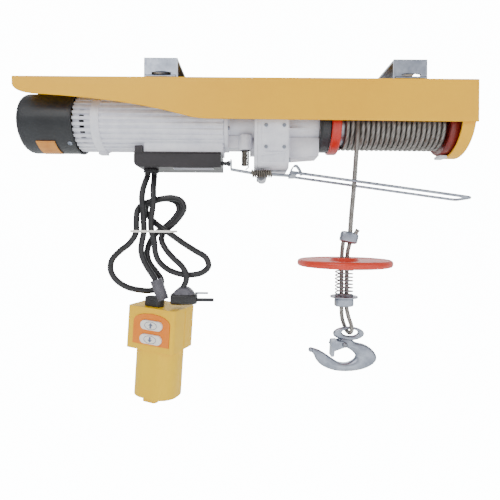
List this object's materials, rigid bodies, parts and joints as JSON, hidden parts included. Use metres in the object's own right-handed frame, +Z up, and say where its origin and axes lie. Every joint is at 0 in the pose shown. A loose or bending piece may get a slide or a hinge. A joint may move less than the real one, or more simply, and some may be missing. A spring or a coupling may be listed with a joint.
{
  "type": "electric wire-rope hoist",
  "caption": "Compact electric wire-rope hoist on a folded steel frame, with motor, gearbox, rope drum, limit lever, hook and a two-button pendant.",
  "frame": {"origin": "middle of the top face of the folded frame, halfway between its ends and its skirts", "axes": "+X along the frame from the motor's fan end to the drum end, +Y from the front to the back, +Z up towards the beam it hangs from"},
  "size_m": [0.592, 0.145, 0.452],
  "materials": {
    "yellow_paint": "glossy powder coat",
    "casting": "as-cast satin",
    "zinc": "bright zinc plate",
    "black_plastic": "moulded satin",
    "red_paint": "gloss",
    "red_plastic": "moulded gloss",
    "rope_steel": "stranded wire",
    "steel": "machined",
    "cord_rubber": "matt",
    "pendant_plastic": "moulded gloss",
    "copper": "varnished winding",
    "white_plastic": "moulded gloss",
    "orange_plastic": "satin"
  },
  "bodies": {
    "chassis": {"frame_channel": "yellow_paint", "bracket_left": "zinc", "bracket_right": "zinc", "bracket_bolts_left": "steel", "bracket_bolts_right": "steel", "fan_cover": "black_plastic", "cover_patch": "orange_plastic", "vent_ring": "casting", "motor_housing": "casting", "stator": "copper", "rear_bearing": "steel", "front_bearing": "steel", "drive_shield": "casting", "gear_housing": "casting", "gearbox_front_plate": "casting", "output_bearing": "steel", "countershaft_bearing": "steel", "drum_collar": "black_plastic", "drum_end_cap": "yellow_paint", "end_bearing": "steel", "end_lug": "casting", "control_box": "black_plastic", "control_box_lid": "black_plastic", "box_label": "white_plastic", "capacitor": "zinc", "limit_switch": "black_plastic", "cable_gland": "cord_rubber", "lever_pin": "steel", "lever_spring": "steel", "rope_fall": "rope_steel"},
    "lever": {"limit_lever": "zinc", "wire_loop": "zinc"},
    "plunger_body": {"plunger": "black_plastic"},
    "drum": {"drum_barrel": "steel", "drum_flange_left": "red_paint", "drum_flange_right": "red_paint", "rope_wrap": "rope_steel", "output_wheel": "steel"},
    "layshaft": {"countershaft": "steel"},
    "rotor_body": {"rotor": "steel", "fan": "black_plastic"},
    "rope_end": {"upper_ferrule": "zinc", "rope_loop": "rope_steel", "lower_ferrule": "zinc", "spring_washer": "zinc", "buffer_spring": "steel"},
    "disc": {"stop_disc": "red_plastic"},
    "hook_body": {"hook": "zinc"},
    "latch": {"hook_latch": "steel"},
    "pendant": {"pendant_case": "pendant_plastic", "pendant_cover": "orange_plastic", "switch_block": "black_plastic", "pendant_gland": "cord_rubber", "pendant_boot": "cord_rubber", "control_cord": "cord_rubber", "mains_cord": "cord_rubber", "cord_tie": "white_plastic", "plug": "cord_rubber"},
    "up_key": {"up_button": "white_plastic"},
    "down_key": {"down_button": "white_plastic"}
  },
  "joints": [
    {"name": "drum_spin", "type": "hinge", "parent": "chassis", "child": "drum", "pos_m": [0.19, 0, -0.0475], "axis": [-1, 0, 0], "range_deg": [0, 160]},
    {"name": "hook_lift", "type": "slide", "parent": "chassis", "child": "rope_end", "axis": [0, 0, 1], "range_m": [0, 0.0835], "deforming": ["rope_fall"]},
    {"name": "countershaft_spin", "type": "hinge", "parent": "chassis", "child": "layshaft", "pos_m": [0.035, 0, -0.0775], "axis": [-1, 0, 0], "range_deg": [-642, 0]},
    {"name": "rotor_spin", "type": "hinge", "parent": "chassis", "child": "rotor_body", "pos_m": [-0.12, 0, -0.0475], "axis": [-1, 0, 0], "range_deg": [0, 2562]},
    {"name": "lever_tilt", "type": "hinge", "parent": "chassis", "child": "lever", "pos_m": [0.021, -0.015, -0.1205], "axis": [0, -1, 0], "range_deg": [0, 6]},
    {"name": "plunger_slide", "type": "slide", "parent": "chassis", "child": "plunger_body", "axis": [-1, 0, 0], "range_m": [0, 0.0019]},
    {"name": "disc_slide", "type": "slide", "parent": "rope_end", "child": "disc", "axis": [0, 0, 1], "range_m": [-0.018, 0], "stiffness_N_per_m": 600, "springref_m": 0.006, "deforming": ["buffer_spring"]},
    {"name": "hook_swing", "type": "hinge", "parent": "rope_end", "child": "hook_body", "pos_m": [0.137, -0.03, -0.3242], "axis": [0, 1, 0], "range_deg": [-15, 15]},
    {"name": "latch_hinge", "type": "hinge", "parent": "hook_body", "child": "latch", "pos_m": [0.1305, -0.03, -0.3385], "axis": [0, -1, 0], "range_deg": [0, 25], "stiffness_Nm_per_rad": 0.03, "springref_deg": -17.19},
    {"name": "pendant_swing", "type": "hinge", "parent": "chassis", "child": "pendant", "pos_m": [-0.121, -0.01, -0.118], "axis": [0, 1, 0], "range_deg": [-6, 6]},
    {"name": "up_press", "type": "slide", "parent": "pendant", "child": "up_key", "axis": [0.342, 0.9397, 0], "range_m": [0, 0.0025], "stiffness_N_per_m": 400},
    {"name": "down_press", "type": "slide", "parent": "pendant", "child": "down_key", "axis": [0.342, 0.9397, 0], "range_m": [0, 0.0025], "stiffness_N_per_m": 400}
  ],
  "couplings": [
    {"joint": "hook_lift", "follows": "drum_spin", "m_per_rad": 0.0298},
    {"joint": "countershaft_spin", "follows": "drum_spin", "ratio": -4},
    {"joint": "rotor_spin", "follows": "drum_spin", "ratio": 16},
    {"joint": "plunger_slide", "follows": "lever_tilt", "m_per_rad": 0.0175}
  ]
}
